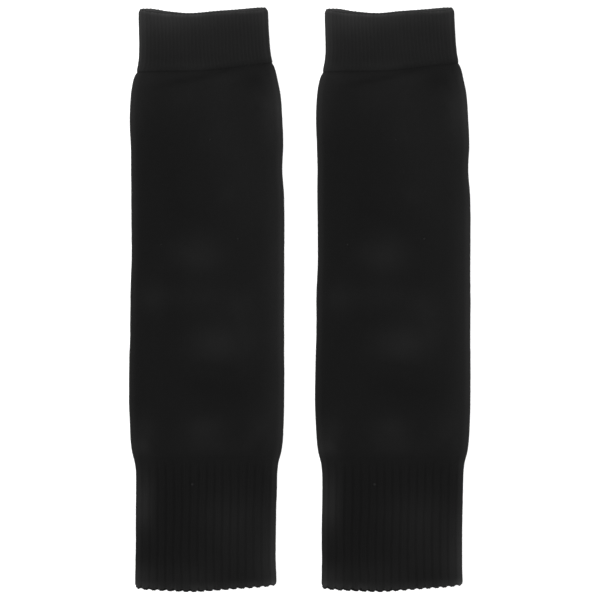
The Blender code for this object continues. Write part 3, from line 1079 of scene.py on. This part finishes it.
def grow(name, source, tree, values):
    """Runs a tree on a source mesh and keeps the result as a plain mesh in a new object."""
    piece = new_object(name, source)
    modifier = piece.modifiers.new("grow", "NODES")
    modifier.node_group = tree
    for socket in tree.interface.items_tree:
        if socket.item_type == "SOCKET" and socket.in_out == "INPUT" and socket.name in values:
            modifier[socket.identifier] = values[socket.name]
    piece.update_tag()
    evaluated = piece.evaluated_get(bpy.context.evaluated_depsgraph_get())
    grown = bpy.data.meshes.new_from_object(evaluated)
    piece.modifiers.remove(modifier)
    piece.data = grown
    grown.name = name
    for mark in GUIDE_MARKS:
        if mark in grown.attributes:
            grown.attributes.remove(grown.attributes[mark])
    return piece


def path_mesh(name, skin_row, outward, painted_shading, origin):
    """Points of a closed path with the two directions that each stitch on it is turned by."""
    points = skin_row * MM + np.array(origin)
    onward = unit(np.roll(points, -1, axis=0) - np.roll(points, 1, axis=0))
    count = len(points)
    mesh = bpy.data.meshes.new(name)
    mesh.from_pydata(points, [(step, (step + 1) % count) for step in range(count)], [])
    set_marks(mesh, {"outward": outward, "onward": onward}, "FLOAT_VECTOR", "vector")
    # The factor of painted light and shade for what grows on the path.
    set_marks(mesh, {"painted_shading": np.full(count, painted_shading)})
    return mesh


# The middle of each wale, as a turn round the tube.
WALE_TURNS = (np.arange(NEEDLES) + 0.5) / NEEDLES * 4 - 1


def end_path(name, stretch, at_rim, origin):
    """A path round the rim or the hem, in the middle of the wall's round edge, one point to a wale."""
    part, side, bulge = (1.0, 1.0, stretch.high_round) if at_rim else (0.0, -1.0, -stretch.low_round)
    points = stretch.skin(WALE_TURNS, [part], [0.5], [bulge]).points[0]
    # The end loops are painted lighter.
    return path_mesh(name, points, np.tile([0.0, side, 0.0], (NEEDLES, 1)), END_LOOP_PAINTED_SHADING, origin)


def seam_path(name, stretch, origin):
    """A path round the welt's seam, on the floor of its groove."""
    outer, inner = (stretch.skin(WALE_TURNS, [0.0], [depth], [0.0]).points[0] for depth in (0.0, 1.0))
    return path_mesh(name, outer, unit(outer - inner), LINKING_PAINTED_SHADING, origin)


def pill_places(name, cloth_mesh, origin, rows):
    """Points on the cloth's upper side, each nearest to its row's place."""
    places = np.empty(len(cloth_mesh.vertices) * 3, dtype=np.float32)
    cloth_mesh.vertices.foreach_get("co", places)
    places = places.reshape(-1, 3)
    upper = places[places[:, 2] > np.median(places[:, 2])]
    points = []
    for row in rows:
        away = np.hypot(upper[:, 0] - origin[0] - row.right * MM, upper[:, 1] - origin[1] - row.up * MM)
        near = upper[away < PILL_SEARCH * MM]
        points.append(near[np.argmax(near[:, 2])])
    mesh = bpy.data.meshes.new(name)
    mesh.from_pydata(points, [], [])
    set_marks(mesh, {"radius": [row.radius * MM for row in rows], "painted_shading": [PILL_PAINTED_SHADING] * len(rows)})
    return mesh


# Loose fibres, which lean by up to the tilt in radians.
FIBRES = {"Fibre Length": 0.95 * MM, "Fibre Radius": 0.028 * MM, "Tilt": 0.5}

# Chains of loops: the yarn's radius, a loop's span, spread, rise and sink in mm, and how uneven they are.
Loops = namedtuple("Loops", "radius span spread rise sink unevenness yarn")
RIM_LOOPS = Loops(0.24, 1.75, 0.42, 0.06, 0.50, 0.10, "welt")
LINKING_LOOPS = Loops(0.14, 1.55, 0.26, 0.04, 0.14, 0.12, "linking")
HEM_LOOPS = Loops(0.26, 1.80, 0.38, 0.08, 0.55, 0.12, "ankle")


def make_stretches(seed):
    """The three knitted stretches of one sleeve."""
    return {
        "knee_welt": Stretch(WELT_SEAM, RIM, seed, 0.0, WELT_WALL / 2, WELT_RIB_WALES, WELT_RIB_HEIGHT),
        "calf_tube": Stretch(ANKLE_SEAM, WELT_SEAM, seed),
        "ankle_rib": Stretch(HEM, ANKLE_SEAM, seed, ANKLE_WALL / 2, 0.0, ANKLE_RIB_WALES, ANKLE_RIB_HEIGHT),
    }


def flat_size(stretch):
    """A tube's cut in metres: twice the width that it lies at, and its length up the leg, both averaged."""
    across = np.linspace(0, 1, 21)
    low = along(stretch.low_edge, across).mean()
    high = along(stretch.high_edge, across).mean()
    up = np.linspace(low, high, 41)
    width = (along(FOLDS, up, "left") + along(FOLDS, up, "right")).mean()
    return 2 * width * MM, (high - low) * MM


def sleeve_origin(side_name):
    """Where a sleeve's centre line meets its hem line, from the solids."""
    calf_low, calf_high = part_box(f"{side_name}_calf_tube")
    ankle_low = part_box(f"{side_name}_ankle_rib")[0]
    left = max(row.left for row in FOLDS) * MM
    right = max(row.right for row in FOLDS) * MM
    return ((calf_low.x + calf_high.x - right + left) / 2, ankle_low.y, 0.0)


def grow_loops(name, path, loops, seed, yarns):
    """A chain of yarn loops along a path."""
    return grow(name, path, CHAIN, {
        "Yarn Radius": loops.radius * MM, "Span": loops.span * MM, "Spread": loops.spread * MM,
        "Rise": loops.rise * MM, "Sink": loops.sink * MM, "Unevenness": loops.unevenness,
        "Seed": seed, "Yarn": yarns[loops.yarn],
    })


def make_trimmings(side_name, piece, stretch, cloth_mesh, origin, seed, yarns):
    """The loops, linking stitches, pills and nap that belong to one knitted stretch."""
    made = []
    if piece == "knee_welt":
        rim = end_path(f"{side_name}_rim_path", stretch, True, origin)
        made.append(grow_loops(f"{side_name}_rim_loops", rim, RIM_LOOPS, seed, yarns))
        seam = seam_path(f"{side_name}_seam_path", stretch, origin)
        made.append(grow_loops(f"{side_name}_welt_linking", seam, LINKING_LOOPS, seed + 1, yarns))
    if piece == "ankle_rib":
        hem = end_path(f"{side_name}_hem_path", stretch, False, origin)
        made.append(grow_loops(f"{side_name}_hem_loops", hem, HEM_LOOPS, seed + 2, yarns))
    low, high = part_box(f"{side_name}_{piece}")
    rows = [row for row in PILLS if low.y < origin[1] + row.up * MM < high.y]
    if rows:
        places = pill_places(f"{side_name}_{piece}_pill_places", cloth_mesh, origin, rows)
        made.append(grow(f"{side_name}_{piece}_pills", places, PILLING, {
            "Lumpiness": 0.9, "Seed": seed + 3, "Yarn": yarns["loose"],
        }))
    made.append(grow(f"{side_name}_{piece}_nap", cloth_mesh.copy(), NAP, {
        **FIBRES, "Fibres per Area": KNITS[piece].fibres, "Seed": seed + 4, "Fibre": yarns["loose"],
    }))
    return made


def make_sleeve(side_name, seed, materials, yarns):
    """Both the cloth and the trimmings of one sleeve, each on its body and in its slot."""
    origin = sleeve_origin(side_name)
    for piece, stretch in make_stretches(seed).items():
        knit = KNITS[piece]
        name = f"{side_name}_{piece}_cloth"
        mesh = wall_mesh(name, stretch, knit, origin)
        trimmings = make_trimmings(side_name, piece, stretch, mesh, origin, seed + 100, yarns)
        if piece not in materials:
            materials[piece] = knit_material(knit, round(stretch.loop_length / COURSE))
        mesh.materials.append(materials[piece])
        cloth = new_object(name, mesh)
        for part_of_it in [cloth, *trimmings]:
            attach(part_of_it, "root")
        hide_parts(f"{side_name}_{piece}")
        flat_size(stretch)


yarn_materials = {
    "welt": yarn_material("welt_yarn", 0.0125, 0.5),
    "linking": yarn_material("linking_yarn", 0.0080, 0.4),
    "ankle": yarn_material("ankle_yarn", 0.0105, 0.5),
    "loose": yarn_material("loose_fibres", 0.0160, 0.2),
}
sleeve_materials = {}
make_sleeve("left", 11, sleeve_materials, yarn_materials)
make_sleeve("right", 41, sleeve_materials, yarn_materials)

# The floor, and the light of a white studio: an even dome and two large soft lamps.
FLOOR_HALF = 6.0
FLOOR_LEVEL = -0.0001
floor_signs = ((-1, -1), (1, -1), (1, 1), (-1, 1))
floor_corners = [(x * FLOOR_HALF, y * FLOOR_HALF, FLOOR_LEVEL) for x, y in floor_signs]
floor_mesh = bpy.data.meshes.new("floor")
floor_mesh.from_pydata(floor_corners, [], [(0, 1, 2, 3)])
floor_mesh.materials.append(floor_material())
new_object("floor", floor_mesh)

world = bpy.data.worlds.new("studio")
world.use_nodes = True
Wiring(world.node_tree).feed(world.node_tree.nodes["Background"], {"Color": grey(1.0), "Strength": 0.85})
bpy.context.scene.world = world


def soft_lamp(name, place, size, power):
    """A square lamp that faces the middle of the floor."""
    lamp_data = bpy.data.lights.new(name, "AREA")
    lamp_data.size = size
    lamp_data.energy = power
    lamp = new_object(name, lamp_data)
    lamp.location = place
    lamp.rotation_euler = (-Vector(place)).to_track_quat("-Z", "Y").to_euler()


soft_lamp("key_lamp", (-0.9, 0.9, 1.5), 1.2, 22.0)
soft_lamp("fill_lamp", (1.3, -0.4, 1.3), 1.4, 10.0)

# The camera looks straight down. A 380 mm sleeve is 584 pixels long, and the pair's middle is at PAIR_MIDDLE.
PIXEL = 380.0 / 584.0 * MM
PICTURE_PIXELS = 600
PAIR_MIDDLE = (299.65, 299.8)
camera_data = bpy.data.cameras.new("camera")
camera_data.lens = 200.0
camera_data.sensor_width = 36.0
camera_data.clip_end = 100.0
camera = new_object("camera", camera_data)
picture_width = PIXEL * PICTURE_PIXELS
middle_x = (cad_low.x + cad_high.x) / 2 + (PICTURE_PIXELS / 2 - PAIR_MIDDLE[0]) * PIXEL
middle_y = (cad_low.y + cad_high.y) / 2 - (PICTURE_PIXELS / 2 - PAIR_MIDDLE[1]) * PIXEL
camera.location = (middle_x, middle_y, picture_width * camera_data.lens / camera_data.sensor_width)
bpy.context.scene.camera = camera
bpy.context.scene.view_settings.view_transform = "Standard"
